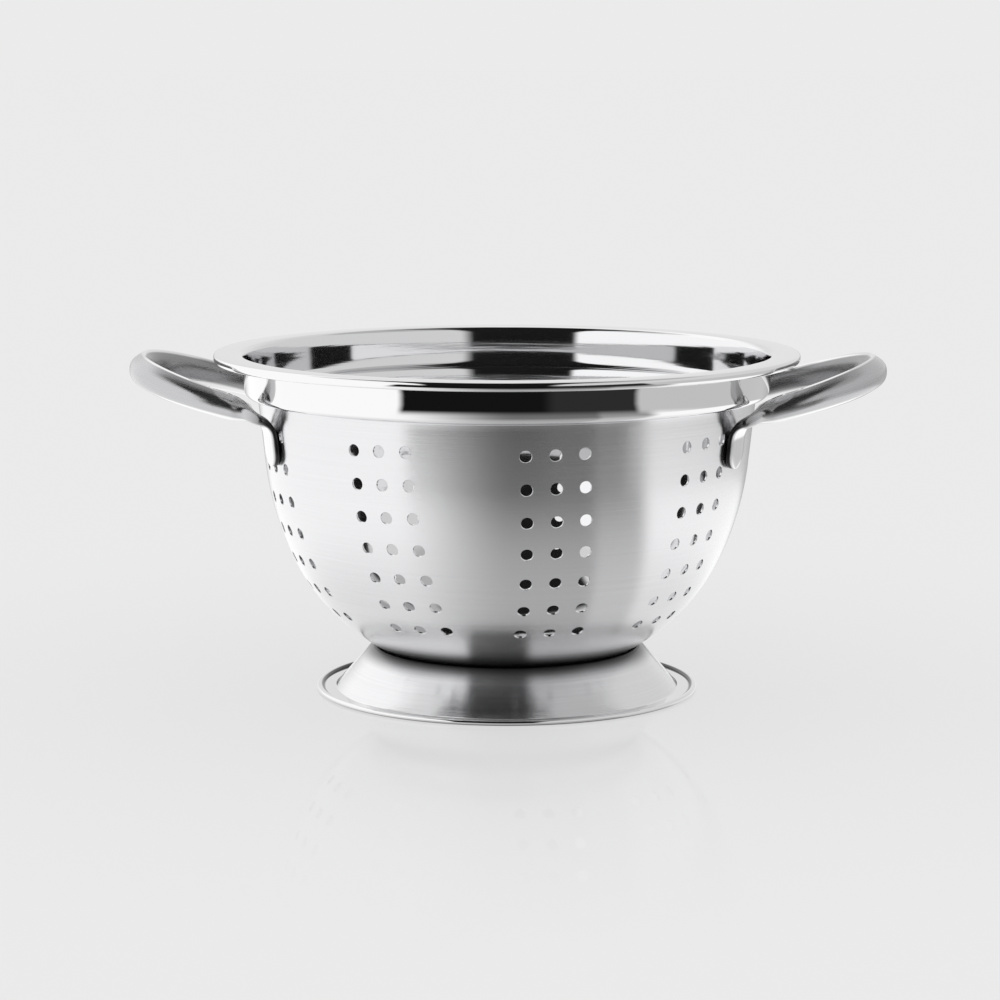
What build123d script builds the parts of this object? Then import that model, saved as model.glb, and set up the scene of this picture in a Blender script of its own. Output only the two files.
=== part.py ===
from build123d import *

import os
from math import atan2, cos, hypot, radians, sin, tan

# A stainless steel colander. One pressed bowl carries a plain upper band and a turned-out rim,
# a conical foot ring is spot-welded under it, and two tube handles are spot-welded to its wall.
# Frame: +Z up, origin at the middle of the foot's resting edge, handles along X.
# All lengths are in millimetres and all angles in degrees.

# Bowl wall, measured on its outer side
bowl_sheet = 0.8
floor_height = 7.5
floor_radius = 11.2
lower_wall_radius = 85.4
lower_wall_turn = 66.6
upper_wall_radius = 127.0
wall_draft = 6.2
floor_courses = 4

# Ledge, band and rim
ledge_height = 122.2
ledge_width = 5.243
band_draft = 4.0
band_foot_bevel = 2.4
brim_width = 12.6
rim_height = 140.0
brim_root_bevel = 1.6
lip_height = 3.5
lip_return = 2.4

# Drain holes: blocks of columns round the wall, each punched a little askew, and rings round
# the floor. Each row is turned on from the row above and each column is raised from the last.
hole_diameter = 4.8
hole_rows = 7
hole_row_pitch = 13.27
first_row_drop = 12.3
hole_groups = 9
group_columns = 3
column_pitch = 11.6
column_rise = 0.35
row_turn = 0.37
first_group_angle = 2.95
floor_hole_rings = 2
floor_hole_pitch = 13.4
floor_ring_step = 6

# Foot ring
foot_diameter = 157.5
foot_sheet = 0.8
foot_cone_angle = 49.0
foot_cone_root_diameter = 142.0
flange_height = 1.0
bead_width = 2.5
bead_height = 2.2
bead_bevel = 0.7
weld_seat_width = 7.5
seat_gap = 0.1

# Handles: a tube loop whose ends are pressed flat into tabs
loop_radius = 40.5
finger_gap = 26.5
loop_rise_angle = 15.6
grip_tip_drop = 7.5
grip_tip_height = 14.0
grip_root_height = 10.5
grip_outer_width = 5.8
grip_inner_width = 3.0
leg_side = 42.0
leg_drop = 2.9
leg_height = 7.6
leg_half_width = 4.3
tab_angle = 24.4
tab_width = 14.6
tab_thickness = 2.4
tab_drop = 12.2
tab_height = 12.1
tab_bend_radius = 7.0
tab_gap = 0.1
bend_end_thickness = 4.6
weld_mark_diameter = 6.0
weld_mark_depth = 0.3
weld_mark_rise = 5.2

# Shares of a handle section's half sizes, which set how full its corners are
grip_shares = (0.62, 0.30, 0.55)
leg_shares = (0.60, 0.12, 0.60)
strap_shares = (0.92, 0.0, 0.92)
swell_start_share = 0.4
bend_steps = 3
grip_stations = 9
quarter_facets = 3

overrun = 2.0
quarter_turn = 90.0
full_turn = 360.0


def across(start, direction, distance):
    """The point that lies a distance from start, square to direction on its right-hand side."""
    size = hypot(direction[0], direction[1])
    return (
        start[0] + direction[1] / size * distance,
        start[1] - direction[0] / size * distance,
    )


def meeting(start, direction, other_start, other_direction):
    """Where two lines of the profile plane cross."""
    gap = (other_start[0] - start[0], other_start[1] - start[1])
    turn = direction[0] * other_direction[1] - direction[1] * other_direction[0]
    along = (gap[0] * other_direction[1] - gap[1] * other_direction[0]) / turn
    return (start[0] + direction[0] * along, start[1] + direction[1] * along)


# The wall's true curve: a flat floor, two arcs and an upright with a slight draft
with BuildLine() as wall_guide:
    floor_line = Line((0, floor_height), (floor_radius, floor_height))
    lower_arc = JernArc(floor_line @ 1, floor_line % 1, lower_wall_radius, lower_wall_turn)
    upper_turn = quarter_turn - wall_draft - lower_wall_turn
    upper_arc = JernArc(lower_arc @ 1, lower_arc % 1, upper_wall_radius, upper_turn)
    upright_start = upper_arc @ 1
    upright_top_radius = upright_start.X + (ledge_height - upright_start.Y) * tan(radians(wall_draft))
    upright = Line(upright_start, (upright_top_radius, ledge_height))
wall_curve = Wire([lower_arc.edge(), upper_arc.edge(), upright.edge()])


def wall_point(run):
    """Radius and height on the wall's curve, a run up from the floor's edge."""
    point = wall_curve.position_at(run, position_mode=PositionMode.LENGTH)
    return (point.X, point.Y)


# The curve is drawn in straight courses, one to each row of holes, so that every hole is bored
# square through its own course. The two upper rows share the upright.
row_runs = [
    wall_curve.length - first_row_drop - row * hole_row_pitch for row in range(hole_rows)
]
row_joint_runs = [run - hole_row_pitch / 2 for run in reversed(row_runs[1:])]
floor_joint_runs = [
    row_joint_runs[0] * course / floor_courses for course in range(floor_courses)
]
joints = [wall_point(run) for run in floor_joint_runs + row_joint_runs]
joints.append((upright_top_radius, ledge_height))
band_radius = upright_top_radius + ledge_width
rim_radius = band_radius + brim_width


def hole_planes():
    """One plane for each drain hole, on the wall's outer side with its normal outwards."""
    planes = []
    middle_column = (group_columns - 1) / 2
    for row in range(hole_rows):
        course = -2 - max(row - 1, 0)
        low, high = joints[course], joints[course + 1]
        rise = (high[0] - low[0], high[1] - low[1])
        slope = atan2(rise[1], rise[0])
        for column in range(group_columns):
            aside = column - middle_column
            height = wall_point(row_runs[row] + aside * column_rise)[1]
            radius = low[0] + rise[0] * (height - low[1]) / rise[1]
            for group in range(hole_groups):
                group_angle = first_group_angle + group * full_turn / hole_groups + row * row_turn
                azimuth = radians(group_angle) + aside * column_pitch / radius
                outward = (cos(azimuth), sin(azimuth))
                planes.append(
                    Plane(
                        origin=(radius * outward[0], radius * outward[1], height),
                        x_dir=(-outward[1], outward[0], 0),
                        z_dir=(sin(slope) * outward[0], sin(slope) * outward[1], -cos(slope)),
                    )
                )
    return planes


with BuildPart() as bowl:
    with BuildSketch(Plane.XZ):
        with BuildLine():
            brim_under = rim_height - bowl_sheet
            band_slope = tan(radians(band_draft))
            band_top_radius = band_radius + (brim_under - ledge_height) * band_slope
            lip_radius = rim_radius - bowl_sheet
            lip_bottom = rim_height - lip_height + bowl_sheet
            Polyline(
                (0, floor_height),
                *joints,
                (band_radius - band_foot_bevel, ledge_height),
                (band_radius + band_foot_bevel * band_slope, ledge_height + band_foot_bevel),
                (band_top_radius - brim_root_bevel * band_slope, brim_under - brim_root_bevel),
                (band_top_radius + brim_root_bevel, brim_under),
                (lip_radius, brim_under),
                (lip_radius, lip_bottom),
                (lip_radius - lip_return, lip_bottom),
            )
            offset(amount=bowl_sheet, side=Side.LEFT, kind=Kind.INTERSECTION)
        make_face()
    revolve(axis=Axis.Z)
    with Locations(*hole_planes()):
        Cylinder(hole_diameter / 2, 2 * (bowl_sheet + overrun), mode=Mode.SUBTRACT)
    # The floor drains too: a middle hole, and rings that gain six holes each
    floor_level = Plane.XY.offset(floor_height)
    with Locations(floor_level):
        Cylinder(hole_diameter / 2, 2 * (bowl_sheet + overrun), mode=Mode.SUBTRACT)
    for ring in range(1, floor_hole_rings + 1):
        ring_radius, ring_height = wall_point(max(ring * floor_hole_pitch - floor_radius, 0))
        with Locations(Plane.XY.offset(ring_height)):
            with PolarLocations(ring_radius, floor_ring_step * ring):
                Cylinder(hole_diameter / 2, 2 * (bowl_sheet + overrun), mode=Mode.SUBTRACT)

with BuildPart() as foot_ring:
    with BuildSketch(Plane.XZ):
        seat_low, seat_high = joints[floor_courses - 2], joints[floor_courses - 1]
        seat_run = (seat_high[0] - seat_low[0], seat_high[1] - seat_low[1])
        seat_slope = atan2(seat_run[1], seat_run[0])
        cone_slope = radians(foot_cone_angle)
        cone_root = (foot_cone_root_diameter / 2, flange_height)
        cone_way = (-cos(cone_slope), sin(cone_slope))
        shoulder = meeting(across(seat_low, seat_run, seat_gap), seat_run, cone_root, cone_way)
        seat_end = (
            shoulder[0] - weld_seat_width * cos(seat_slope),
            shoulder[1] - weld_seat_width * sin(seat_slope),
        )
        bead_radius = foot_diameter / 2 - bead_width / 2
        with BuildLine():
            Polyline(seat_end, shoulder, cone_root, (bead_radius, flange_height))
            offset(amount=foot_sheet, side=Side.RIGHT, kind=Kind.INTERSECTION)
        make_face()
        # The outer edge is rolled tight into a bead, and the ring rests on its underside
        with Locations((bead_radius, bead_height / 2)):
            bead = Rectangle(bead_width, bead_height)
        chamfer(bead.vertices().group_by(Axis.Y)[-1], bead_bevel)
    revolve(axis=Axis.Z)

# Handle stations run from the front tab round the loop to the rear tab. Each gives a plane square
# to the tube and the section's outer and inner half widths, half height and corner shares.
tab_turn = radians(tab_angle)
tab_out = (cos(tab_turn), sin(tab_turn))
tab_side = (-sin(tab_turn), cos(tab_turn), 0)
wall_tilt = quarter_turn - wall_draft
tab_top_height = ledge_height - tab_drop
loop_centre = rim_radius + finger_gap + grip_inner_width - loop_radius


def wall_radius_at(height):
    """Outer radius of the wall's upright at a height."""
    return upright_top_radius - (ledge_height - height) * tan(radians(wall_draft))


def strap_station(share):
    """A flat section on the tab's bend, a share of the way from the wall to the loop's rise."""
    swell = max(share - swell_start_share, 0) / (1 - swell_start_share)
    thickness = tab_thickness + (bend_end_thickness - tab_thickness) * swell
    width = tab_width - tab_thickness * share
    bend = tab_bend_radius + tab_thickness / 2
    start = radians(wall_tilt)
    climb = radians(wall_tilt + (loop_rise_angle - wall_tilt) * share)
    lift = tab_gap + tab_thickness / 2
    radius = wall_radius_at(tab_top_height) + lift * sin(start)
    radius += bend * (sin(start) - sin(climb))
    height = tab_top_height - lift * cos(start)
    height += bend * (cos(climb) - cos(start))
    plane = Plane(
        origin=(radius * tab_out[0], radius * tab_out[1], height),
        x_dir=tab_side,
        z_dir=(cos(climb) * tab_out[0], cos(climb) * tab_out[1], sin(climb)),
    )
    return plane, width / 2, width / 2, thickness / 2, strap_shares


def leg_station():
    """The rounder section where the tube leaves the band behind."""
    way = (loop_centre - upright_top_radius, loop_radius - leg_side)
    size = hypot(way[0], way[1])
    plane = Plane(
        origin=(upright_top_radius, leg_side, ledge_height - leg_drop),
        x_dir=(-way[1] / size, way[0] / size, 0),
        z_dir=(way[0] / size, way[1] / size, 0),
    )
    return plane, leg_half_width, leg_half_width, leg_height / 2, leg_shares


def grip_station(turn):
    """A lens-shaped section on the loop, at a turn from the handle's middle."""
    out = (cos(radians(turn)), sin(radians(turn)))
    along = out[0]
    drop = loop_radius * (1 - along) * tan(radians(loop_rise_angle))
    height = grip_root_height + (grip_tip_height - grip_root_height) * along
    plane = Plane(
        origin=(
            loop_centre + loop_radius * out[0],
            loop_radius * out[1],
            rim_height - grip_tip_drop - drop,
        ),
        x_dir=(out[0], out[1], 0),
        z_dir=(out[1], -out[0], 0),
    )
    return plane, grip_outer_width, grip_inner_width, height / 2, grip_shares


def rear_twin(station):
    """The same station on the rear half, where the tube runs back towards the wall."""
    plane, outer, inner, half_height, shares = station
    origin, x_dir, z_dir = plane.origin, plane.x_dir, plane.z_dir
    twin = Plane(
        origin=(origin.X, -origin.Y, origin.Z),
        x_dir=(x_dir.X, -x_dir.Y, x_dir.Z),
        z_dir=(-z_dir.X, z_dir.Y, -z_dir.Z),
    )
    return twin, outer, inner, half_height, shares


def tube_section(station):
    """One closed tube section: facets on four curves through its top, outer, bottom and inner."""
    plane, outer, inner, half_height, shares = station
    reach, droop, fullness = shares
    corners = []
    for width, height, downwards in (
        (outer, half_height, True),
        (outer, -half_height, False),
        (-inner, -half_height, True),
        (-inner, half_height, False),
    ):
        quarter = Bezier(
            (0, height),
            (width * reach, height * (1 - droop)),
            (width, height * fullness),
            (width, 0),
        )
        for facet in range(quarter_facets):
            share = facet / quarter_facets
            corners.append(quarter @ (share if downwards else 1 - share))
    with BuildSketch(plane) as section:
        with BuildLine():
            Polyline(*corners, close=True)
        make_face()
    return section.sketch.face()


front_stations = [strap_station(step / bend_steps) for step in range(bend_steps + 1)]
front_stations.append(leg_station())
grip_step = 2 * quarter_turn / (grip_stations - 1)
loop_stations = [grip_station(quarter_turn - step * grip_step) for step in range(grip_stations)]
rear_stations = [rear_twin(station) for station in reversed(front_stations)]

tab_back_radius = wall_radius_at(tab_top_height) + tab_gap * cos(radians(wall_draft))
tab_back_height = tab_top_height - tab_gap * sin(radians(wall_draft))
tab_length = tab_height / cos(radians(wall_draft))
tab_climb = (sin(radians(wall_draft)), cos(radians(wall_draft)))
tube_stations = front_stations + loop_stations + rear_stations
tube_sections = [tube_section(station) for station in tube_stations]

with BuildPart() as handle_right:
    loft(sections=tube_sections)
    for side in (1, -1):
        # Local Y runs up the wall and the normal points outwards
        tab_plane = Plane(
            origin=(
                tab_back_radius * tab_out[0],
                tab_back_radius * tab_out[1] * side,
                tab_back_height,
            ),
            x_dir=(-tab_side[0], -tab_side[1] * side, 0) if side < 0 else tab_side,
            z_dir=(
                tab_climb[1] * tab_out[0],
                tab_climb[1] * tab_out[1] * side,
                -tab_climb[0],
            ),
        )
        with BuildSketch(tab_plane):
            with Locations((0, -tab_length / 2)):
                tab = Rectangle(tab_width, tab_length)
            fillet(tab.vertices().group_by(Axis.Y)[0], tab_width / 2 - tab_thickness / 2)
        extrude(amount=tab_thickness)
        mark_drop = (tab_height - weld_mark_rise) / tab_climb[1]
        with BuildSketch(tab_plane.offset(tab_thickness - weld_mark_depth)):
            with Locations((0, -mark_drop)):
                Circle(weld_mark_diameter / 2)
        extrude(amount=weld_mark_depth, mode=Mode.SUBTRACT)

with BuildPart() as handle_left:
    mirror(handle_right.part, about=Plane.YZ)

bowl.part.label = "bowl"
foot_ring.part.label = "foot_ring"
handle_right.part.label = "handle_right"
handle_left.part.label = "handle_left"

os.makedirs("parts", exist_ok=True)
export_step(bowl.part, "parts/bowl.step")
export_step(foot_ring.part, "parts/foot_ring.step")
export_step(handle_right.part, "parts/handle_right.step")
export_step(handle_left.part, "parts/handle_left.step")
print("holes in the wall", hole_rows * hole_groups * group_columns)
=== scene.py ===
import bpy
import numpy as np
from math import radians, tan
from mathutils import Euler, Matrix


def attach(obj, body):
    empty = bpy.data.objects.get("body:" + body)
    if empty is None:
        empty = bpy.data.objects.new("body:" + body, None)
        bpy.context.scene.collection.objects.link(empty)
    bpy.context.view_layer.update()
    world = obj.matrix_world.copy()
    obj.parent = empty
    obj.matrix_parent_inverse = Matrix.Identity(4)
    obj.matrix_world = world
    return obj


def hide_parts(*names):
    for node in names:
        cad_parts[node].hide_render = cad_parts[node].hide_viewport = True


# Footed steel colander with two loop handles. Metres, Z up, handles along X.

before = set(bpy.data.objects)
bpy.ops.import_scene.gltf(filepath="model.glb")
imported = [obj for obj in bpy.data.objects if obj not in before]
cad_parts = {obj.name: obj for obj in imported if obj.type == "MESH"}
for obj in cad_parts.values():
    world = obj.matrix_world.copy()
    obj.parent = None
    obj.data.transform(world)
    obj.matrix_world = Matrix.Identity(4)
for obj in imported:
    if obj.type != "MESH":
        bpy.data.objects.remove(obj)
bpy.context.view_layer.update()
print("frame loaded")


def addPiece(name, points, quads, triangles=None, uv=None, lap=0.0, slots=None, crease=40):
    # Points and corner lists go into one mesh; creases over so many degrees stay sharp.
    # The map's second value is carried past the lap where a face closes the round.
    faces = quads.tolist() + (triangles.tolist() if triangles is not None else [])
    mesh = bpy.data.meshes.new(name)
    mesh.from_pydata(points.tolist(), [], faces)
    mesh.update()
    mesh.polygons.foreach_set("use_smooth", np.ones(len(mesh.polygons), bool))
    mesh.set_sharp_from_angle(angle=radians(crease))
    if uv is not None:
        corner = np.empty(len(mesh.loops), np.int32)
        mesh.loops.foreach_get("vertex_index", corner)
        layer = mesh.uv_layers.new(name="alongAround")
        values = uv[corner].reshape(-1, 4, 2)
        behind = values[:, :, 1].max(1, keepdims=True) - values[:, :, 1] > lap / 2
        values[:, :, 1] += behind * lap
        layer.data.foreach_set("uv", values.ravel().astype(np.float32))
    if slots is not None:
        mesh.polygons.foreach_set("material_index", slots.astype(np.int32))
    piece = bpy.data.objects.new(name, mesh)
    bpy.context.scene.collection.objects.link(piece)
    return piece


def roundedLine(corners, radii, spacing, arcStep):
    # A line through the corners with each inner corner replaced by an arc of its radius.
    # Gives radius, height and heading at points along it.
    corners = np.array(corners, float)
    legs = np.diff(corners, axis=0)
    lengths = np.hypot(legs[:, 0], legs[:, 1])
    heading = np.arctan2(legs[:, 1], legs[:, 0])
    rows = []
    start = corners[0]
    for k in range(len(legs)):
        way = legs[k] / lengths[k]
        if k < len(radii):
            turn = (heading[k + 1] - heading[k] + np.pi) % (2 * np.pi) - np.pi
            cut = radii[k] * abs(tan(turn / 2))
            end = corners[k + 1] - way * cut
        else:
            end = corners[k + 1]
        count = max(1, int(np.ceil(np.hypot(*(end - start)) / spacing)))
        along = np.linspace(0, 1, count + 1)[:, None]
        straight = start + (end - start) * along
        rows.append(np.c_[straight, np.full(count + 1, heading[k])])
        if k < len(radii):
            steps = max(2, int(np.ceil(abs(turn) / arcStep)))
            angle = heading[k] + turn * np.linspace(0, 1, steps + 1)[1:-1]
            side = np.sign(turn)
            centre = end + radii[k] * side * np.array([-np.sin(heading[k]), np.cos(heading[k])])
            arc = centre + radii[k] * side * np.c_[np.sin(angle), -np.cos(angle)]
            rows.append(np.c_[arc, angle])
            start = end + radii[k] * side * np.array([
                np.sin(heading[k + 1]) - np.sin(heading[k]),
                np.cos(heading[k]) - np.cos(heading[k + 1]),
            ])
    # Points that fall on each other are kept once
    line = np.vstack(rows)
    keep =np.r_[True, np.hypot(*np.diff(line[:, :2], axis=0).T) > 1e-7]
    return line[keep]


def ringQuads(lower, upper, flip=False):
    # Quads between two rows of point numbers that close round the axis.
    nextLower, nextUpper = np.roll(lower, -1, -1), np.roll(upper, -1, -1)
    quads = np.stack([lower, nextLower, nextUpper, upper], -1).reshape(-1, 4)
    return quads[:, ::-1] if flip else quads


def stitchRings(inner, innerAngle, outer, outerAngle):
    # Triangles between two closed rings with different counts, taken in order of angle.
    angles = np.r_[innerAngle, outerAngle]
    fromInner = np.r_[np.ones(len(inner), bool), np.zeros(len(outer), bool)]
    order = np.argsort(angles, kind="stable")
    step = fromInner[order]
    i = (np.cumsum(step) - 1) % len(inner)
    j = (np.cumsum(~step) - 1) % len(outer)
    innerBefore = np.where(step, (i - 1) % len(inner), i)
    outerBefore = np.where(step, j, (j - 1) % len(outer))
    third = np.where(step, inner[i], outer[j])
    return np.stack([inner[innerBefore], third, outer[outerBefore]], -1)


bowl = dict(
    sheet=0.0008,
    floorHeight=0.0075,
    floorRadius=0.0112,
    lowerRadius=0.0854,
    lowerTurn=radians(66.6),
    upperRadius=0.127,
    draft=radians(6.2),
    ledgeHeight=0.1222,
    bandRadius=0.1074,
    bandDraft=radians(4.0),
    bandFootRound=0.0034,
    ledgeRound=0.0007,
    rimRadius=0.12,
    rimHeight=0.14,
    brimRootRound=0.0017,
    lipHeight=0.0035,
    lipReturn=0.0024,
    lipCrease=0.0004,
    lipRound=0.0007,
    holeRadius=0.0024,
    holeEdge=0.00012,
    rowPitch=0.01327,
    firstRowDrop=0.0123,
    rows=7,
    groups=9,
    columns=3,
    columnPitch=0.0116,
    columnRise=0.00035,
    rowTurn=radians(0.37),
    firstGroup=radians(2.95),
    floorPitch=0.0134,
    cellSteps=6,
    gapSteps=12,
    floorColumns=72,
    floorRings=2,
    centreSteps=3,
    lowStart=0.0016,
    lowSteps=12,
    curveSpacing=0.0045,
    curveStep=radians(16),
    curveSamples=400,
    ledgeMargin=0.0002,
    outsideShare=0.4,
    ledgeShare=1.5,
)


def wallCurve(run):
    # Radius, height and heading at a run from the axis: flat floor, wide arc, wider arc, upright.
    b = bowl
    turn1 = b["lowerTurn"]
    turn2 = np.pi / 2 - b["draft"]
    run1 = b["floorRadius"] + b["lowerRadius"] * turn1
    run2 = run1 + b["upperRadius"] * (turn2 - turn1)
    z1 = b["floorHeight"] + b["lowerRadius"] * (1 - np.cos(turn1))
    z2 = z1 + b["upperRadius"] * (np.cos(turn1) - np.cos(turn2))
    heading = np.clip((run - b["floorRadius"]) / b["lowerRadius"], 0, turn1)
    heading = heading + np.clip((run - run1) / b["upperRadius"], 0, turn2 - turn1)
    low = np.minimum(heading, turn1)
    radius = np.minimum(run, b["floorRadius"]) + b["lowerRadius"] * np.sin(low)
    height = b["floorHeight"] + b["lowerRadius"] * (1 - np.cos(low))
    radius = radius + b["upperRadius"] * (np.sin(heading) - np.sin(low))
    height = height + b["upperRadius"] * (np.cos(low) - np.cos(heading))
    past = np.maximum(run - run2, 0)
    radius = radius + past * np.cos(turn2)
    height = height + past * np.sin(turn2)
    total = run2 + (b["ledgeHeight"] - z2) / np.sin(turn2)
    return radius, height, heading, total


def wallPoints(run, angle, depth):
    # A point on the wall at a run and an angle, sunk a depth into the sheet along its normal.
    radius, height, heading = wallCurve(run)[:3]
    radius = radius - depth * np.sin(heading)
    height = height + depth * np.cos(heading)
    return np.stack([radius * np.cos(angle), radius * np.sin(angle), height + 0 * angle], -1)


def cellEdge(rowStart, columnStart, rowSteps, columnSteps, columnCount):
    # Row and column numbers round a cell of the grid, counter-clockwise from the lower right.
    up = np.arange(rowSteps)
    across = np.arange(columnSteps)
    rows = np.r_[up, np.full(columnSteps, rowSteps), rowSteps - up, np.zeros(columnSteps, int)]
    columns = np.r_[
        np.full(rowSteps, columnSteps), columnSteps - across, np.zeros(rowSteps, int), across
    ]
    return rowStart + rows, (columnStart + columns) % columnCount


def perforatedGrid(runs, angles, holes, base):
    # A grid on the wall's two sides, with each hole's cell swapped for rings that close in on it.
    # angles has a row for each run; holes lists (row start, column start, row steps,
    # column steps, run, angle).
    b = bowl
    count = angles.shape[1]
    number = base + np.arange(angles.size).reshape(angles.shape)
    under = number + angles.size
    gridRun = np.broadcast_to(runs[:, None], angles.shape)
    points = [
        wallPoints(gridRun, angles, 0).reshape(-1, 3),
        wallPoints(gridRun, angles, b["sheet"]).reshape(-1, 3),
    ]
    solid = np.ones((len(runs) - 1, count), bool)
    quads = []
    total = base + 2 * angles.size
    # Rings of a hole: how far from the cell's edge to the hole, extra radius and depth
    e = b["holeEdge"]
    rings = [
        (0.5, e, 0.0),
        (1.0, e, 0.0),
        (1.0, 0.0, e),
        (1.0, 0.0, b["sheet"] - e),
        (1.0, e, b["sheet"]),
        (0.5, e, b["sheet"]),
    ]
    for rowStart, columnStart, rowSteps, columnSteps, run, angle in holes:
        columns = (columnStart + np.arange(columnSteps)) % count
        solid[rowStart:rowStart + rowSteps, columns] = False
        rowNumber, columnNumber = cellEdge(rowStart, columnStart, rowSteps, columnSteps, count)
        edgeRun = runs[rowNumber] - run
        edgeAngle = (angles[rowNumber, columnNumber] - angle + np.pi) % (2 * np.pi) - np.pi
        here = wallCurve(np.array(run))[0]
        around = np.arctan2(edgeRun, edgeAngle * here)
        previous = number[rowNumber, columnNumber]
        for share, extra, depth in rings:
            circle = b["holeRadius"] + extra
            ringRun = edgeRun * (1 - share) + circle * np.sin(around) * share
            ringAngle = edgeAngle * (1 - share) + circle * np.cos(around) / here * share
            points.append(wallPoints(run + ringRun, angle + ringAngle, depth))
            current = total + np.arange(len(around))
            total += len(around)
            quads.append(ringQuads(previous, current))
            previous = current
        quads.append(ringQuads(previous, under[rowNumber, columnNumber]))
    rowIndex, columnIndex = np.nonzero(solid)
    nextColumn = (columnIndex + 1) % count
    outer = np.stack([
        number[rowIndex, columnIndex], number[rowIndex, nextColumn],
        number[rowIndex + 1, nextColumn], number[rowIndex + 1, columnIndex],
    ], -1)
    quads.append(outer)
    quads.append(outer[:, ::-1] + angles.size)
    return np.vstack(points), np.vstack(quads), number, under, total


def sortedRing(numbers, angles):
    # The same ring of point numbers, put in order of angle from 0 to a full turn.
    angles = angles % (2 * np.pi)
    order = np.argsort(angles)
    return numbers[order], angles[order]


def buildBowl():
    # Floor and wall are perforated grids on the wall's curve; the rest is a line turned round.
    b = bowl
    total = wallCurve(np.array(0.0))[3]
    pitch = b["floorPitch"]
    steps = b["cellSteps"]
    # Floor: a middle hole, then rings of six and twelve
    floorAngles = np.arange(b["floorColumns"]) * 2 * np.pi / b["floorColumns"]
    floorRuns = np.r_[
        np.linspace(b["holeRadius"], pitch / 2, b["centreSteps"] + 1)[:-1],
        pitch / 2 + np.arange(b["floorRings"] * steps + 1) * pitch / steps,
    ]
    floorHoles = []
    for ring in range(1, b["floorRings"] + 1):
        ringHoles = 6 * ring
        wide = b["floorColumns"] // ringHoles
        for k in range(ringHoles):
            columnStart = (k * wide - wide // 2) % b["floorColumns"]
            floorHoles.append((
                b["centreSteps"] + (ring - 1) * steps, columnStart, steps, wide,
                ring * pitch, k * 2 * np.pi / ringHoles,
            ))
    floorPoints, floorQuads, floorOuter, floorInner, used = perforatedGrid(
        floorRuns, np.tile(floorAngles, (len(floorRuns), 1)), floorHoles, 0
    )
    # Wall: groups of columns with plain gaps between; the grid leans and spreads with its rows
    pitch = b["rowPitch"]
    firstRun = total - b["firstRowDrop"]
    lowest = firstRun - (b["rows"] - 0.5) * pitch
    lowRuns = np.linspace(floorRuns[-1] + b["lowStart"], lowest, b["lowSteps"] + 1)[:-1]
    rowRuns = lowest + np.arange(b["rows"] * steps + 1) * pitch / steps
    wallRuns = np.r_[lowRuns, rowRuns]
    groupTurn = 2 * np.pi / b["groups"]

    def groupAngle(run):
        # Where the first group's middle lies at a run, and the angle between its columns.
        row = np.clip((firstRun - run) / pitch, 0, b["rows"] - 1)
        reach = wallCurve(firstRun - row * pitch)[0]
        return b["firstGroup"] + row * b["rowTurn"], b["columnPitch"] / reach

    middle, apart = (values[:, None] for values in groupAngle(wallRuns))
    columns = np.arange(b["columns"] * steps) / steps - b["columns"] / 2
    gap = np.arange(b["gapSteps"]) / b["gapSteps"]
    oneGroup = np.hstack([
        columns * apart,
        b["columns"] / 2 * apart + gap * (groupTurn - b["columns"] * apart),
    ])
    angles = np.hstack([middle + group * groupTurn + oneGroup for group in range(b["groups"])])
    holes = []
    for row in range(b["rows"]):
        middle, apart = groupAngle(np.array(firstRun - row * pitch))
        for group in range(b["groups"]):
            for column in range(b["columns"]):
                aside = column - (b["columns"] - 1) / 2
                holes.append((
                    len(lowRuns) + (b["rows"] - 1 - row) * steps,
                    group * oneGroup.shape[1] + column * steps, steps, steps,
                    firstRun - row * pitch + aside * b["columnRise"],
                    middle + group * groupTurn + aside * apart,
                ))
    wallPart, wallQuads, wallOuter, wallInner, used = perforatedGrid(wallRuns, angles, holes, used)
    lowAngles, angles = angles[0], angles[-1]
    # Ledge, band, brim and lip: one rounded line carried round the axis
    topRadius = wallCurve(np.array(total))[0]
    brimUnder = b["rimHeight"] - b["sheet"]
    bandTop = b["bandRadius"] + (brimUnder - b["ledgeHeight"]) * tan(b["bandDraft"])
    lip = b["rimRadius"] - b["sheet"]
    lipBottom = b["rimHeight"] - b["lipHeight"] + b["sheet"]
    startRun = wallRuns[-1]
    startRadius, startHeight = wallCurve(np.array(startRun))[:2]
    line = roundedLine(
        [
            (startRadius, startHeight), (topRadius, b["ledgeHeight"]),
            (b["bandRadius"], b["ledgeHeight"]), (bandTop, brimUnder),
            (lip, brimUnder), (lip, lipBottom), (lip - b["lipReturn"], lipBottom),
        ],
        [b["ledgeRound"], b["bandFootRound"], b["brimRootRound"], b["lipCrease"], b["lipRound"]],
        b["curveSpacing"], b["curveStep"],
    )[1:]
    radius, height, heading = line[:, 0:1], line[:, 1:2], line[:, 2:3]
    upper = []
    for depth in (0, b["sheet"]):
        r = radius - depth * np.sin(heading)
        z = height + depth * np.cos(heading)
        upper.append(np.stack([r * np.cos(angles), r * np.sin(angles), z + 0 * angles], -1))
    count = len(angles)
    topOuter = used + np.arange(len(line) * count).reshape(len(line), count)
    topInner = topOuter + len(line) * count
    outerRows = np.vstack([wallOuter[-1:], topOuter])
    innerRows = np.vstack([wallInner[-1:], topInner])
    quads = [
        floorQuads, wallQuads,
        ringQuads(outerRows[:-1], outerRows[1:]),
        ringQuads(innerRows[:-1], innerRows[1:], flip=True),
        ringQuads(outerRows[-1], innerRows[-1]),
        ringQuads(floorInner[0], floorOuter[0]),
    ]
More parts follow.
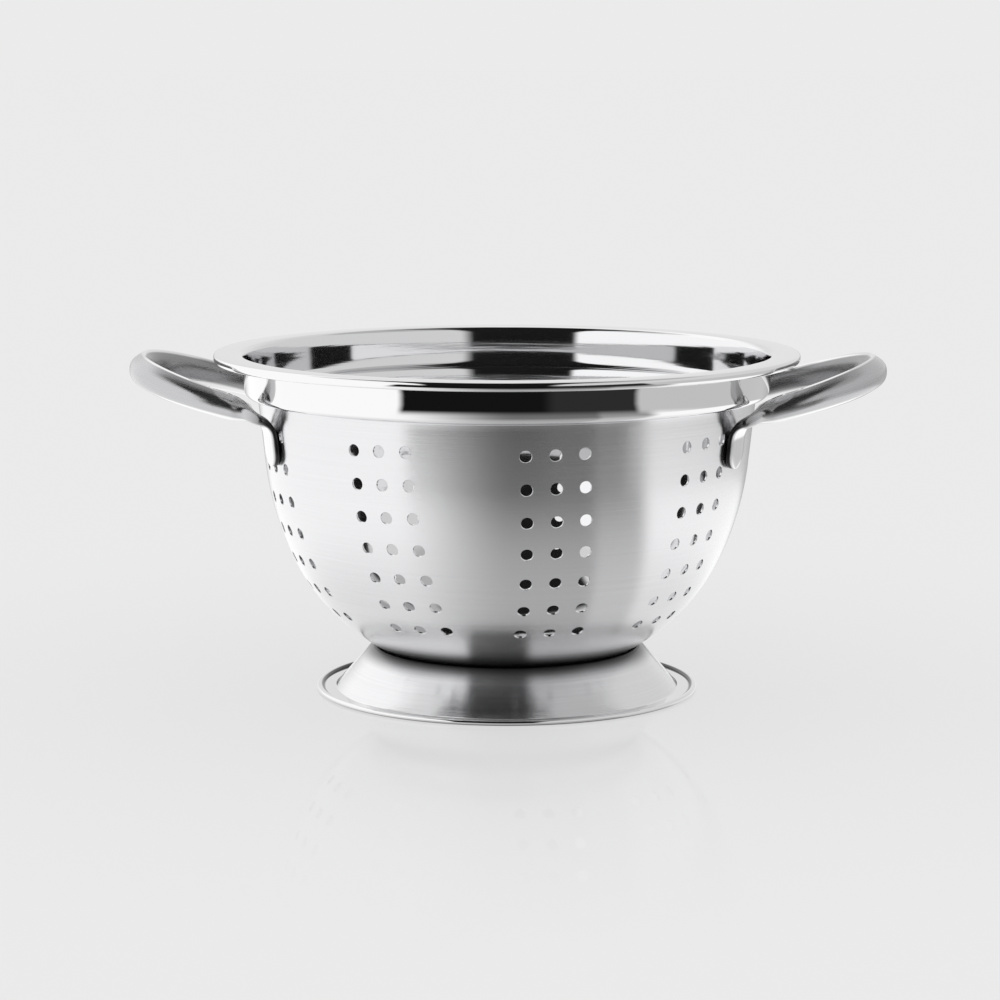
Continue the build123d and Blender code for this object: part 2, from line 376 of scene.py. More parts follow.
    # Triangles join the floor's last ring to the wall's first
    floorTurn = floorAngles % (2 * np.pi)
    outerSeam = stitchRings(floorOuter[-1], floorTurn, *sortedRing(wallOuter[0], lowAngles))
    innerSeam = stitchRings(floorInner[-1], floorTurn, *sortedRing(wallInner[0], lowAngles))
    triangles = np.vstack([outerSeam, innerSeam[:, ::-1]])
    points = np.vstack([floorPoints, wallPart] + [u.reshape(-1, 3) for u in upper])
    quads = np.vstack(quads)
    # Slot 0 is the satin outside of the wall, slot 1 the polished band and brim, slot 2 the inside
    wall = wallCurve(np.linspace(0, total, b["curveSamples"]))
    within = b["sheet"] * b["outsideShare"]
    slots = []
    for corners in (quads, triangles):
        middle = points[corners].mean(1)
        reach = np.hypot(middle[:, 0], middle[:, 1])
        outside = np.interp(middle[:, 2], wall[1], wall[0])
        height = middle[:, 2] - b["ledgeHeight"]
        satin = (middle[:, 2] < b["ledgeHeight"] - b["ledgeMargin"]) & (reach > outside - within)
        band = b["bandRadius"] + height * tan(b["bandDraft"]) - within
        onLedge = height < b["sheet"] * b["ledgeShare"]
        inside = onLedge | ((reach < band) & (middle[:, 2] < brimUnder))
        slots.append(np.where(satin, 0, np.where(inside, 2, 1)))
    piece = addPiece("bowlShell", points, quads, triangles, slots=np.concatenate(slots))
    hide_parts("bowl")
    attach(piece, "root")
    return piece


bowlShell = buildBowl()
print("bowl built", len(bowlShell.data.polygons))


foot = dict(
    coneAngle=radians(49),
    coneRootRadius=0.071,
    flangeHeight=0.001,
    sheet=0.0008,
    beadOuter=0.07875,
    beadWidth=0.0025,
    beadHeight=0.0022,
    seatRun=(0.0415, 0.0545),
    seatGap=0.0002,
    shoulderRound=0.0022,
    rootRound=0.0012,
    flangeShare=0.7,
    rollEnds=(radians(215), radians(-145)),
    rollSteps=24,
    curveSpacing=0.004,
    curveStep=radians(12),
    polishTop=1.05,
    columns=240,
)


def buildFoot():
    # A sheet that follows the bowl's underside, turns down a cone and out to a rolled bead.
    f = foot
    radius, height, heading = wallCurve(np.array(f["seatRun"]))[:3]
    seat = np.c_[radius + f["seatGap"] * np.sin(heading), height - f["seatGap"] * np.cos(heading)]
    cone = np.array([-np.cos(f["coneAngle"]), np.sin(f["coneAngle"])])
    root = np.array([f["coneRootRadius"], f["flangeHeight"]])
    way = seat[1] - seat[0]
    gap = root - seat[0]
    along = (gap[0] * cone[1] - gap[1] * cone[0]) / (way[0] * cone[1] - way[1] * cone[0])
    shoulder = seat[0] + way * along
    bead = (f["beadWidth"] / 2, f["beadHeight"] / 2)
    beadMiddle = f["beadOuter"] - bead[0]
    line = roundedLine(
        [seat[0], shoulder, root, (beadMiddle - bead[0] * f["flangeShare"], f["flangeHeight"])],
        [f["shoulderRound"], f["rootRound"]], f["curveSpacing"], f["curveStep"],
    )
    top = line[:, :2]
    left = np.c_[np.sin(line[:, 2]), -np.cos(line[:, 2])]
    below = top + f["sheet"] * left
    angle = np.linspace(*f["rollEnds"], f["rollSteps"] + 2)[1:-1]
    roll = np.c_[beadMiddle + bead[0] * np.cos(angle), bead[1] + bead[1] * np.sin(angle)]
    outline = np.vstack([top, roll, below[::-1]])
    turn = np.arange(f["columns"]) * 2 * np.pi / f["columns"]
    points = np.stack([
        outline[:, 0:1] * np.cos(turn), outline[:, 0:1] * np.sin(turn),
        outline[:, 1:2] + 0 * turn,
    ], -1)
    number = np.arange(len(outline) * f["columns"]).reshape(len(outline), -1)
    quads = ringQuads(number, np.roll(number, -1, 0), flip=True)
    points = points.reshape(-1, 3)
    # Slot 0 is the brushed cone, slot 1 the polished flange and bead
    low = points[quads][..., 2].mean(1) < f["beadHeight"] * f["polishTop"]
    slots = np.where(low, 1, 0)
    piece = addPiece("footRing", points, quads, slots=slots)
    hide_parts("foot_ring")
    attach(piece, "root")
    return piece


footRing = buildFoot()
print("foot built", len(footRing.data.polygons))


handle = dict(
    loopRadius=0.0405,
    loopReach=0.1495,
    rise=radians(15.6),
    tipMiddle=0.1325,
    tipHeight=0.014,
    rootHeight=0.0105,
    outerWidth=0.0058,
    innerWidth=0.003,
    legPlace=(0.102, 0.042, 0.1193),
    legHeight=0.0076,
    legHalfWidth=0.0043,
    tabAngle=radians(24.4),
    tabWidth=0.0146,
    tabThickness=0.0024,
    tabBottom=0.0979,
    tabTop=0.11,
    bendRadius=0.007,
    bendEndThickness=0.0046,
    tabGap=0.0001,
    gripShares=(0.62, 0.30, 0.55),
    legShares=(0.60, 0.12, 0.60),
    strapShares=(0.92, 0.0, 0.92),
    aroundSteps=10,
    aroundLength=0.03,
    alongStep=0.0009,
    tabSteps=4,
    bendSteps=4,
    swellStart=0.4,
    gripSteps=9,
    endSteps=8,
    crease=80,
)


def smoothThrough(knots, values, samples):
    # Cubic curve through the values, with each slope taken from the neighbours on both sides.
    step = np.diff(knots)
    chord = np.diff(values, axis=0) / step[:, None]
    before, after = step[:-1, None], step[1:, None]
    slope = np.vstack([
        chord[:1],
        (chord[:-1] * after + chord[1:] * before) / (before + after),
        chord[-1:],
    ])
    k = np.clip(np.searchsorted(knots, samples, side="right") - 1, 0, len(step) - 1)
    h = step[k][:, None]
    t = ((samples - knots[k]) / step[k])[:, None]
    return (
        values[k] * (1 + 2 * t) * (1 - t) ** 2 + values[k + 1] * t ** 2 * (3 - 2 * t)
        + h * (slope[k] * t * (1 - t) ** 2 - slope[k + 1] * t ** 2 * (1 - t))
    )


def handleStations():
    # Rows of place, side way, climb way, outer, inner and half height, and three corner shares.
    h = handle
    wallLean = bowl["draft"]
    topRadius = wallCurve(wallCurve(np.array(0.0))[3])[0]
    out = np.array([np.cos(h["tabAngle"]), np.sin(h["tabAngle"]), 0])
    side = np.array([-np.sin(h["tabAngle"]), np.cos(h["tabAngle"]), 0])
    up = np.array([0, 0, 1.0])

    def onWall(height):
        radius = topRadius - (bowl["ledgeHeight"] - height) * tan(wallLean)
        lift = h["tabGap"] + h["tabThickness"] / 2
        return out * (radius + lift * np.cos(wallLean)) + up * (height - lift * np.sin(wallLean))

    rows = []
    half = h["tabWidth"] / 2
    normal = out * np.cos(wallLean) - up * np.sin(wallLean)
    for height in np.linspace(h["tabBottom"], h["tabTop"], h["tabSteps"] + 1):
        rows.append(np.r_[onWall(height), side, -normal, half, half, h["tabThickness"] / 2,
                          h["strapShares"]])
    bend = h["bendRadius"] + h["tabThickness"] / 2
    centre = onWall(h["tabTop"]) + normal * bend
    begin = np.pi / 2 - wallLean
    growth = h["bendEndThickness"] - h["tabThickness"]
    swellStart = h["swellStart"]
    for share in np.arange(1, h["bendSteps"] + 1) / h["bendSteps"]:
        angle = begin + (h["rise"] - begin) * share
        inward = out * -np.sin(angle) + up * np.cos(angle)
        thick = h["tabThickness"] + growth * max(0, share - swellStart) / (1 - swellStart)
        narrow = half - h["tabThickness"] / 2 * share
        rows.append(np.r_[centre + inward * bend, side, inward, narrow, narrow, thick / 2,
                          h["strapShares"]])
    way = np.array([h["loopReach"] - h["loopRadius"] - h["legPlace"][0],
                    h["loopRadius"] - h["legPlace"][1]])
    way = way / np.hypot(*way)
    rows.append(np.r_[h["legPlace"], -way[1], way[0], 0, 0, 0, 1, h["legHalfWidth"],
                      h["legHalfWidth"], h["legHeight"] / 2, h["legShares"]])
    for turn in np.linspace(np.pi / 2, 0, h["gripSteps"] + 1):
        drop = h["loopRadius"] * (1 - np.cos(turn)) * tan(h["rise"])
        tall = h["rootHeight"] + (h["tipHeight"] - h["rootHeight"]) * np.cos(turn)
        rows.append(np.r_[
            h["loopReach"] - h["loopRadius"] + h["loopRadius"] * np.cos(turn),
            h["loopRadius"] * np.sin(turn), h["tipMiddle"] - drop,
            np.cos(turn), np.sin(turn), 0, 0, 0, 1,
            h["outerWidth"], h["innerWidth"], tall / 2, h["gripShares"],
        ])
    rows = np.array(rows)
    back = rows[-2::-1].copy()
    back[:, [1, 4, 7]] *= -1
    return np.vstack([rows, back])


def quarterCurve(t, shares):
    # Cubic curve from the top of a section to its side, pulled out by the three corner shares:
    # gives how wide and how high it is, from 0 to 1, at each step t of each section.
    a, b, c, d = (1 - t) ** 3, 3 * t * (1 - t) ** 2, 3 * t ** 2 * (1 - t), t ** 3
    wide = b * shares[:, 0:1] + c + d
    high = a + b * (1 - shares[:, 1:2]) + c * shares[:, 2:3]
    return wide, high


def buildHandle(name, node, sign):
    # Closed sections of four curves each, carried through the stations.
    h = handle
    stations = handleStations()
    length = np.r_[0, np.cumsum(np.linalg.norm(np.diff(stations[:, :3], axis=0), axis=1))]
    reach = length[-1]
    end = h["tabWidth"] / 2 - h["tabThickness"] / 2
    early = end * (1 - np.cos(np.linspace(0, np.pi / 2, h["endSteps"] + 1)))[:-1]
    middle = np.linspace(end, reach - end, int((reach - 2 * end) / h["alongStep"]))
    samples = np.r_[early, middle, reach - early[::-1]]
    rows = smoothThrough(length, stations, samples)
    place, side, climb = rows[:, 0:3], rows[:, 3:6], rows[:, 6:9]
    outer, inner, tall = rows[:, 9:10], rows[:, 10:11], rows[:, 11:12]
    shares = rows[:, 12:15]
    fromEnd = np.minimum(samples, reach - samples)
    short = np.clip(end - fromEnd, 0, end)
    trim = (end - np.sqrt(end ** 2 - short ** 2))[:, None]
    outer, inner = outer - trim, inner - trim
    steps = h["aroundSteps"] + 1
    goingWide, goingTall = quarterCurve(np.linspace(0, 1, steps)[:-1], shares)
    backWide, backTall = quarterCurve(np.linspace(1, 0, steps)[:-1], shares)
    wide = np.hstack([goingWide * outer, backWide * outer, -goingWide * inner, -backWide * inner])
    high = np.hstack([goingTall * tall, -backTall * tall, -goingTall * tall, backTall * tall])
    points = place[:, None] + side[:, None] * wide[..., None] + climb[:, None] * high[..., None]
    around = wide.shape[1]
    points[..., 0] *= sign
    number = np.arange(len(samples) * around).reshape(len(samples), around)
    quads = ringQuads(number[:-1], number[1:], flip=sign < 0)
    caps = [number[0][::-1], number[-1]] if sign > 0 else [number[0], number[-1][::-1]]
    capQuads = np.array([
        [cap[k], cap[k + 1], cap[around - 2 - k], cap[around - 1 - k]]
        for cap in caps for k in range(around // 2 - 1)
    ])
    uv = np.stack(np.broadcast_arrays(
        fromEnd[:, None], np.arange(around) / around * h["aroundLength"]
    ), -1).reshape(-1, 2)
    piece = addPiece(
        name, points.reshape(-1, 3), np.vstack([quads, capQuads]), uv=uv, lap=h["aroundLength"],
        crease=h["crease"],
    )
    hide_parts(node)
    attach(piece, "root")
    return piece


handleRight = buildHandle("handleRight", "handle_right", 1)
handleLeft = buildHandle("handleLeft", "handle_left", -1)
print("handles built", len(handleRight.data.polygons))


# Lines are how often the noise repeats in a metre, along and across the brushing
steel = dict(
    satinColor=(0.74, 0.74, 0.75, 1),
    satinRoughness=0.24,
    satinAnisotropy=0.75,
    satinLines=(10, 3400),
    satinStreaks=0.12,
    polishColor=(0.80, 0.80, 0.80, 1),
    polishRoughness=0.02,
    polishLines=(20, 120),
    polishStreaks=0.01,
    insideColor=(0.77, 0.77, 0.78, 1),
    insideRoughness=0.06,
    insideLines=(10, 300),
    insideStreaks=0.02,
    footColor=(0.77, 0.77, 0.78, 1),
    footRoughness=0.17,
    footLines=(10, 2400),
    footStreaks=0.16,
    bowlContact=(0.0145, 0.027),
    footContact=(0.0125, 0.0185),
    # Reach of painted shade in the bead's groove, and height of painted shadow along its bottom
    beadGrooveShade=((0.0752, 0.0760), (0.0766, 0.0772)),
    beadFloorShadow=(0.0001, 0.0010),
    handleColor=(0.50, 0.50, 0.51, 1),
    handleRoughness=0.27,
    handleAnisotropy=0.6,
    handleLines=(30, 3600),
    handleStreaks=0.30,
    handleZone=((0.01, 0.03), (0.38, 0.44)),
    innerZone=((0.58, 0.66), (0.93, 0.97)),
    # How much painted shade darkens the handle's inner face
    innerShade=0.45,
    # Where painted shade lies beside the tabs: share of the way round, and reach from each end
    tabShadeSide=((0.12, 0.18), (0.32, 0.38)),
    tabShadeReach=(0.018, 0.027),
    streakDepth=0.00002,
    lineDetail=3.0,
    lineRoughness=0.65,
    shadowDepth=0.9,
    anisotropyTurn=0.25,
)


def makeGroup(name, inputs, outputs):
    # A shader group with named sockets: (name, kind, value) going in and (name, kind) coming out.
    group = bpy.data.node_groups.new(name, "ShaderNodeTree")
    for label, kind, value in inputs:
        socket = group.interface.new_socket(label, in_out="INPUT", socket_type=kind)
        if value is not None:
            socket.default_value = value
    for label, kind in outputs:
        group.interface.new_socket(label, in_out="OUTPUT", socket_type=kind)
    return group, group.nodes.new("NodeGroupInput"), group.nodes.new("NodeGroupOutput")


def feed(tree, value, socket):
    # A number is set on the input, and a socket is linked to it.
    if isinstance(value, (int, float)):
        socket.default_value = value
    else:
        tree.links.new(value, socket)


def calculate(tree, operation, *values):
    # One math node whose inputs are numbers or sockets.
    node = tree.nodes.new("ShaderNodeMath")
    node.operation = operation
    for k, value in enumerate(values):
        feed(tree, value, node.inputs[k])
    return node.outputs[0]


def ramp(tree, value, low, high, fromValue=0.0, toValue=1.0):
    # A smooth step from one value to another between two limits.
    node = tree.nodes.new("ShaderNodeMapRange")
    node.interpolation_type = "SMOOTHSTEP"
    node.inputs["From Min"].default_value = low
    node.inputs["From Max"].default_value = high
    node.inputs["To Min"].default_value = fromValue
    node.inputs["To Max"].default_value = toValue
    tree.links.new(value, node.inputs["Value"])
    return node.outputs["Result"]


def window(tree, value, rise, fall):
    # 1 between two smooth steps, 0 outside them.
    return calculate(tree, "MULTIPLY", ramp(tree, value, *rise), ramp(tree, value, *fall, 1.0, 0.0))


def blendValues(tree, first, second, share):
    # First value where share is 0, second where it is 1.
    node = tree.nodes.new("ShaderNodeMix")
    node.data_type = "FLOAT"
    for label, value in (("A", first), ("B", second), ("Factor", share)):
        feed(tree, value, node.inputs[label])
    return node.outputs["Result"]


def mixShaders(tree, first, second, share):
    # First shader where share is 0, second where it is 1.
    node = tree.nodes.new("ShaderNodeMixShader")
    feed(tree, share, node.inputs["Fac"])
    tree.links.new(first, node.inputs[1])
    tree.links.new(second, node.inputs[2])
    return node.outputs[0]


def brushedGroup():
    # Noise read slowly along the lines and fast across them moves colour, roughness and height.
    # Zone runs from polished at 0 to brushed at 1, and Shadow darkens the colour with painted
    # shade.
    group, given, result = makeGroup(
        "brushedSteel",
        [
            ("Place", "NodeSocketVector", None),
            ("Zone", "NodeSocketFloat", 1.0),
            ("Shadow", "NodeSocketFloat", 0.0),
            ("Brushed Color", "NodeSocketColor", None),
            ("Polished Color", "NodeSocketColor", None),
            ("Brushed Roughness", "NodeSocketFloat", 0.3),
            ("Polished Roughness", "NodeSocketFloat", 0.05),
            ("Streaks", "NodeSocketFloat", 0.1),
        ],
        [
            ("Color", "NodeSocketColor"),
            ("Roughness", "NodeSocketFloat"),
            ("Height", "NodeSocketFloat"),
        ],
    )
    lines = group.nodes.new("ShaderNodeTexNoise")
    lines.inputs["Scale"].default_value = 1.0
    lines.inputs["Detail"].default_value = steel["lineDetail"]
    lines.inputs["Roughness"].default_value = steel["lineRoughness"]
    group.links.new(given.outputs["Place"], lines.inputs["Vector"])
    centred = calculate(group, "SUBTRACT", lines.outputs["Fac"], 0.5)
    spread = calculate(group, "MULTIPLY", centred, given.outputs["Streaks"])
    brushed = calculate(group, "ADD", given.outputs["Brushed Roughness"], spread)
    rough = blendValues(group, given.outputs["Polished Roughness"], brushed, given.outputs["Zone"])
    group.links.new(rough, result.inputs["Roughness"])
    height = calculate(group, "MULTIPLY", lines.outputs["Fac"], given.outputs["Zone"])
    group.links.new(height, result.inputs["Height"])
    tint = group.nodes.new("ShaderNodeMix")
    tint.data_type = "RGBA"
    for label, source in (("A", "Polished Color"), ("B", "Brushed Color"), ("Factor", "Zone")):
        group.links.new(given.outputs[source], tint.inputs[label])
    lit = calculate(group, "MULTIPLY_ADD", given.outputs["Shadow"], -steel["shadowDepth"], 1.0)
    shade = calculate(group, "MULTIPLY", calculate(group, "ADD", spread, 1.0), lit)
    shaded = group.nodes.new("ShaderNodeVectorMath")
    shaded.operation = "SCALE"
    group.links.new(tint.outputs["Result"], shaded.inputs[0])
    group.links.new(shade, shaded.inputs["Scale"])
    group.links.new(shaded.outputs[0], result.inputs["Color"])
    return group


brushedSteel = brushedGroup()


def steelMaterial(
    name, place, color, roughness, streaks, anisotropy=0.0, zones=None, polished=False
):
    # Metal whose colour, roughness and bump all come from the brushed steel group.
    # zones gives a socket for Zone, or None to leave the piece all one finish, and for Shadow.
    material = bpy.data.materials.new(name)
    material.use_nodes = True
    tree = material.node_tree
    shader = tree.nodes["Principled BSDF"]
    shader.inputs["Metallic"].default_value = 1.0
    shader.inputs["Anisotropic"].default_value = anisotropy
    shader.inputs["Anisotropic Rotation"].default_value = steel["anisotropyTurn"]
    metal = tree.nodes.new("ShaderNodeGroup")
    metal.node_tree = brushedSteel
    metal.inputs["Brushed Color"].default_value = color
    metal.inputs["Polished Color"].default_value = steel["polishColor"]
    metal.inputs["Brushed Roughness"].default_value = roughness
    metal.inputs["Polished Roughness"].default_value = steel["polishRoughness"]
    metal.inputs["Streaks"].default_value = streaks
    metal.inputs["Zone"].default_value = 0.0 if polished else 1.0
    tree.links.new(place(tree), metal.inputs["Place"])
    if zones:
        zone, shadow = zones(tree)
        if zone is not None:
            tree.links.new(zone, metal.inputs["Zone"])
        tree.links.new(shadow, metal.inputs["Shadow"])
    tree.links.new(metal.outputs["Color"], shader.inputs["Base Color"])
    tree.links.new(metal.outputs["Roughness"], shader.inputs["Roughness"])
    bump = tree.nodes.new("ShaderNodeBump")
    bump.inputs["Distance"].default_value = steel["streakDepth"]
    bump.inputs["Strength"].default_value = 1.0
    tree.links.new(metal.outputs["Height"], bump.inputs["Height"])
    tree.links.new(bump.outputs["Normal"], shader.inputs["Normal"])
    return material


def splitPlace(tree, place):
    # X, Y and Z of a place.
    parts = tree.nodes.new("ShaderNodeSeparateXYZ")
    tree.links.new(place, parts.inputs[0])
    return tuple(parts.outputs)


def placeLength(tree, place):
    # Distance of a place from where X, Y and Z are 0.
    length = tree.nodes.new("ShaderNodeVectorMath")
    length.operation = "LENGTH"
    tree.links.new(place, length.inputs[0])
    return length.outputs["Value"]


def objectParts(tree):
    # X, Y and Z of a place on the piece.
    return splitPlace(tree, tree.nodes.new("ShaderNodeTexCoord").outputs["Object"])


def axisReach(tree, x, y):
    # Distance from the axis: the root of X squared plus Y squared.
    squareX = calculate(tree, "MULTIPLY", x, x)
    return calculate(tree, "SQRT", calculate(tree, "MULTIPLY_ADD", y, y, squareX))


def ownMap(tree):
    # The piece's own map: length from the nearest end, then the way round.
    layer = tree.nodes.new("ShaderNodeUVMap")
    layer.uv_map = "alongAround"
    return layer.outputs["UV"]


def turnedPlace(slow, fast):
    # Lathe-turned lines: slow on X and Y, fast on height less distance from the axis.
    def make(tree):
        x, y, z = objectParts(tree)
        across = calculate(tree, "SUBTRACT", z, axisReach(tree, x, y))
        joined = tree.nodes.new("ShaderNodeCombineXYZ")
        for k, (value, scale) in enumerate(((x, slow), (y, slow), (across, fast))):
            tree.links.new(calculate(tree, "MULTIPLY", value, scale), joined.inputs[k])
        return joined.outputs[0]
    return make


def sweptPlace(slow, fast):
    # Lines that run along a swept piece, read from its own map.
    def make(tree):
        scale = tree.nodes.new("ShaderNodeVectorMath")
        scale.operation = "MULTIPLY"
        scale.inputs[1].default_value = (slow, fast, 1)
        tree.links.new(ownMap(tree), scale.inputs[0])
        return scale.outputs[0]
    return make


def handleZones(tree):
    # Brushed on the outer face and on the inner one, the inner one darkened by painted shade,
    # polished above and below them, and painted shade beside the tabs.
    fromEnd, around = splitPlace(tree, ownMap(tree))[:2]
    around = calculate(tree, "MULTIPLY", around, 1 / handle["aroundLength"])
    innerFace = window(tree, around, *steel["innerZone"])
    zone = calculate(tree, "MAXIMUM", window(tree, around, *steel["handleZone"]), innerFace)
    # Painted shade on the strap's side near each tab
    side = window(tree, around, *steel["tabShadeSide"])
    near = ramp(tree, fromEnd, *steel["tabShadeReach"], 1.0, 0.0)
    tabShade = calculate(tree, "MULTIPLY", side, near)
    # Painted shade darkens the inner face
    dim = calculate(tree, "MULTIPLY", innerFace, steel["innerShade"])
    return zone, calculate(tree, "MAXIMUM", tabShade, dim)


def beadShade(tree):
    # Painted shade in the groove where the bead meets the flange, and a painted shadow along the
    # bead's bottom where it sits on the floor.
    x, y, z = objectParts(tree)
    grooveShade = window(tree, axisReach(tree, x, y), *steel["beadGrooveShade"])
    floorShadow = ramp(tree, z, *steel["beadFloorShadow"], 1.0, 0.0)
    return None, calculate(tree, "MAXIMUM", grooveShade, floorShadow)


def contactZones(low, high, darkAbove):
    # A shadow between two heights, where two pieces close up on each other.
    def make(tree):
        ends = (0.0, 1.0) if darkAbove else (1.0, 0.0)
        return None, ramp(tree, objectParts(tree)[2], low, high, *ends)
    return make


satinSteel = steelMaterial(
    "satinSteel", turnedPlace(*steel["satinLines"]), steel["satinColor"],
    steel["satinRoughness"], steel["satinStreaks"], steel["satinAnisotropy"],
    contactZones(*steel["bowlContact"], darkAbove=False),
)
insideSteel = steelMaterial(
    "insideSteel", turnedPlace(*steel["insideLines"]), steel["insideColor"],
    steel["insideRoughness"], steel["insideStreaks"],
)
polishedSteel = steelMaterial(
    "polishedSteel", turnedPlace(*steel["polishLines"]), steel["polishColor"],
    steel["polishRoughness"], steel["polishStreaks"], polished=True,
)
footSteel = steelMaterial(
    "footSteel", turnedPlace(*steel["footLines"]), steel["footColor"],
    steel["footRoughness"], steel["footStreaks"], steel["satinAnisotropy"],
    contactZones(*steel["footContact"], darkAbove=True),
)
beadSteel = steelMaterial(
    "beadSteel", turnedPlace(*steel["polishLines"]), steel["polishColor"],
    steel["polishRoughness"], steel["polishStreaks"], zones=beadShade, polished=True,
)
handleSteel = steelMaterial(
    "handleSteel", sweptPlace(*steel["handleLines"]), steel["handleColor"],
    steel["handleRoughness"], steel["handleStreaks"], steel["handleAnisotropy"], handleZones,
)

for piece, materials in (
    (bowlShell, (satinSteel, polishedSteel, insideSteel)),
    (footRing, (footSteel, beadSteel)),
    (handleRight, (handleSteel,)),
    (handleLeft, (handleSteel,)),
):
    for material in materials:
        piece.data.materials.append(material)
# The CAD pieces lack the map alongAround, so the handles among them take the foot's finish
for node, material in (
    ("bowl", satinSteel), ("foot_ring", footSteel),
    ("handle_left", footSteel), ("handle_right", footSteel),
):
    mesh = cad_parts[node].data
    mesh.materials.clear()
    mesh.materials.append(material)
print("finishes made")

# Angles in the studio are turned from the front towards the right; reaches are from the axis
studio = dict(
    paper=0.831,
    floorSize=40.0,
    mirrorShare=0.12,
    mirrorFade=(0.10, 0.42),
    mirrorRoughness=0.015,
    shadowShare=0.25,
    floorWhite=0.98,
    boxWhite=1.18,
    rightGrey=0.64,
    rightSide=(radians(15), radians(22)),
    farFront=((radians(-42), radians(-38)), (radians(53), radians(57))),
    farDark=0.008,
    farDim=0.03,
    nearFront=((radians(-46), radians(6)), (radians(57), radians(66))),
    nearGrey=(0.10, 0.36, 0.52, 0.19),
    nearWhite=(0.08, 0.22, 0.92, 1.18),
    nearStep=(radians(36), radians(40)),
    nearLift=0.17,
    nearToFar=(0.42, 0.52),
    roomStrip=((-0.52, -0.46), (0.29, 0.40)),
    stripEnd=(0.30, 0.45),
    roomRing=((0.70, 0.78), (0.93, 0.97)),
    ringShare=0.32,
    roomDark=0.01,
    roomRight=0.78,
    backEdge=(radians(140), radians(165)),
    backGrey=0.45,
    backTop=(0.3, 0.6),
)


def turnFromFront(tree, x, y):
    # The angle from the front (-Y) towards the right (+X).
    return calculate(tree, "ARCTAN2", x, calculate(tree, "MULTIPLY", y, -1.0))


def floorLight():
    # How bright the floor looks in the metal: white, an unlit front that greys near the object,
    # a greyer right and a greyer back.
    s = studio
    group, given, result = makeGroup(
        "floorLight", [("Place", "NodeSocketVector", None)], [("Strength", "NodeSocketFloat")]
    )
    reach = placeLength(group, given.outputs["Place"])
    turn = turnFromFront(group, *splitPlace(group, given.outputs["Place"])[:2])
    right = ramp(group, turn, *s["rightSide"])
    lit = blendValues(group, s["boxWhite"], s["rightGrey"], right)
    unlit = blendValues(group, s["farDark"], s["farDim"], right)
    far = blendValues(group, lit, unlit, window(group, turn, *s["farFront"]))
    grey = ramp(group, reach, *s["nearGrey"])
    lighter = calculate(group, "ADD", grey, s["nearLift"])
    grey = blendValues(group, grey, lighter, ramp(group, turn, *s["nearStep"]))
    white = ramp(group, reach, *s["nearWhite"])
    near = blendValues(group, white, grey, window(group, turn, *s["nearFront"]))
    level = blendValues(group, near, far, ramp(group, reach, *s["nearToFar"]))
    back = ramp(group, calculate(group, "ABSOLUTE", turn), *s["backEdge"])
    group.links.new(blendValues(group, level, s["backGrey"], back), result.inputs["Strength"])
    return group


def roomLight():
    # How bright the room looks in the metal: white, a black strip from the front up and over, a
    # grey ring round the lamp overhead, a greyer right, and plain paper low at the back.
    s = studio
    group, given, result = makeGroup(
        "roomLight", [("Place", "NodeSocketVector", None)], [("Strength", "NodeSocketFloat")]
    )
    x, y, z = splitPlace(group, given.outputs["Place"])
    turn = turnFromFront(group, x, y)
    lit = blendValues(group, s["boxWhite"], s["roomRight"], ramp(group, turn, *s["rightSide"]))
    strip = window(group, x, *s["roomStrip"])
    ahead = ramp(group, y, *s["stripEnd"], 1.0, 0.0)
    ring = window(group, z, *s["roomRing"])
    ring = calculate(group, "MULTIPLY", ring, s["ringShare"])
    unlit = calculate(group, "MAXIMUM", calculate(group, "MULTIPLY", strip, ahead), ring)
    level = blendValues(group, lit, s["roomDark"], unlit)
    back = ramp(group, calculate(group, "ABSOLUTE", turn), *s["backEdge"])
    low = ramp(group, z, *s["backTop"], 1.0, 0.0)
    back = calculate(group, "MULTIPLY", back, low)
    group.links.new(blendValues(group, level, s["paper"], back), result.inputs["Strength"])
    return group


def lightStrength(tree, group, place):
    # The strength that a light's group gives for a place.
    light = tree.nodes.new("ShaderNodeGroup")
    light.node_tree = group
    tree.links.new(place, light.inputs["Place"])
    return light.outputs["Strength"]


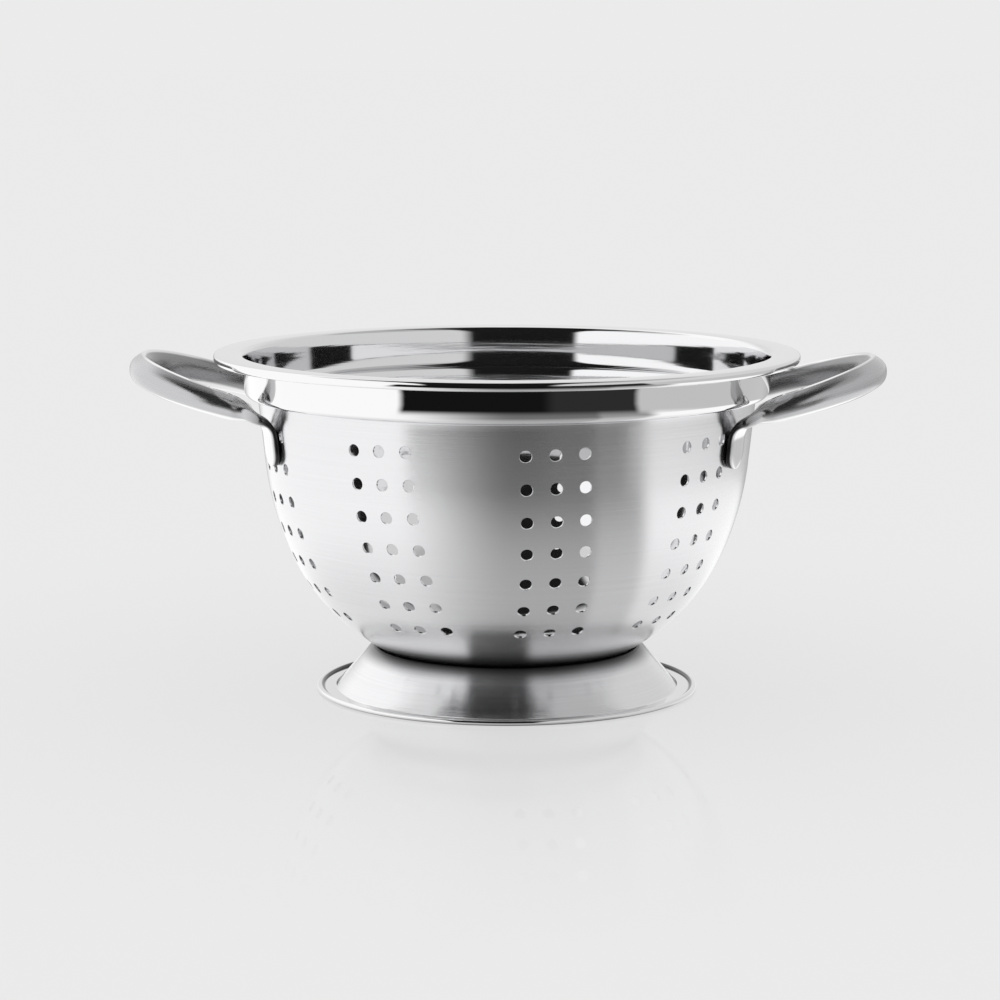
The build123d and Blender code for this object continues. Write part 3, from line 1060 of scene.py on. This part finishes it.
def buildFloor():
    # The camera sees even paper with a faint shadow and mirror; metal sees the floor light;
    # everything else sees matt paper.
    s = studio
    half = s["floorSize"] / 2
    mesh = bpy.data.meshes.new("floor")
    mesh.from_pydata([(-half, -half, 0), (half, -half, 0), (half, half, 0), (-half, half, 0)],
                     [], [(0, 1, 2, 3)])
    floor = bpy.data.objects.new("floor", mesh)
    bpy.context.scene.collection.objects.link(floor)
    material = bpy.data.materials.new("paperFloor")
    material.use_nodes = True
    material.cycles.emission_sampling = "NONE"
    tree = material.node_tree
    matt = tree.nodes["Principled BSDF"]
    matt.inputs["Base Color"].default_value = (s["floorWhite"],) * 3 + (1,)
    matt.inputs["Roughness"].default_value = 1.0
    matt.inputs["Specular IOR Level"].default_value = 0.0
    place = tree.nodes.new("ShaderNodeTexCoord").outputs["Object"]
    paper = tree.nodes.new("ShaderNodeEmission")
    paper.inputs["Color"].default_value = (s["paper"],) * 3 + (1,)
    shaded = mixShaders(tree, paper.outputs[0], matt.outputs[0], s["shadowShare"])
    mirror = tree.nodes.new("ShaderNodeBsdfGlossy")
    mirror.inputs["Roughness"].default_value = s["mirrorRoughness"]
    fade = ramp(tree, placeLength(tree, place), *s["mirrorFade"], s["mirrorShare"], 0.0)
    seen = mixShaders(tree, shaded, mirror.outputs[0], fade)
    mirrored = tree.nodes.new("ShaderNodeEmission")
    tree.links.new(lightStrength(tree, floorLight(), place), mirrored.inputs["Strength"])
    path = tree.nodes.new("ShaderNodeLightPath")
    surface = mixShaders(tree, matt.outputs[0], seen, path.outputs["Is Camera Ray"])
    surface = mixShaders(tree, surface, mirrored.outputs[0], path.outputs["Is Glossy Ray"])
    tree.links.new(surface, tree.nodes["Material Output"].inputs["Surface"])
    floor.data.materials.append(material)


def buildWorld():
    # Metal sees the room light; everything else, the camera included, sees plain paper.
    s = studio
    world = bpy.data.worlds.new("softStudio")
    world.use_nodes = True
    bpy.context.scene.world = world
    tree = world.node_tree
    place = tree.nodes.new("ShaderNodeTexCoord").outputs["Generated"]
    room = tree.nodes["Background"]
    room.inputs["Color"].default_value = (1, 1, 1, 1)
    tree.links.new(lightStrength(tree, roomLight(), place), room.inputs["Strength"])
    plain = tree.nodes.new("ShaderNodeBackground")
    plain.inputs["Color"].default_value = (s["paper"],) * 3 + (1,)
    path = tree.nodes.new("ShaderNodeLightPath")
    surface = mixShaders(tree, plain.outputs[0], room.outputs[0], path.outputs["Is Glossy Ray"])
    tree.links.new(surface, tree.nodes["World Output"].inputs["Surface"])


buildFloor()
buildWorld()

view = dict(
    lens=114.87,
    sensorWidth=36.0,
    place=(0.0518, -1.3031, 0.2709),
    tilt=radians(81.595),
    turn=radians(2.4),
)
lens = bpy.data.cameras.new("photoCamera")
lens.lens = view["lens"]
lens.sensor_width = view["sensorWidth"]
camera = bpy.data.objects.new("photoCamera", lens)
camera.location = view["place"]
camera.rotation_euler = Euler((view["tilt"], 0, view["turn"]))
bpy.context.scene.collection.objects.link(camera)
bpy.context.scene.camera = camera
bpy.context.scene.view_settings.view_transform = "Standard"
print("studio ready")
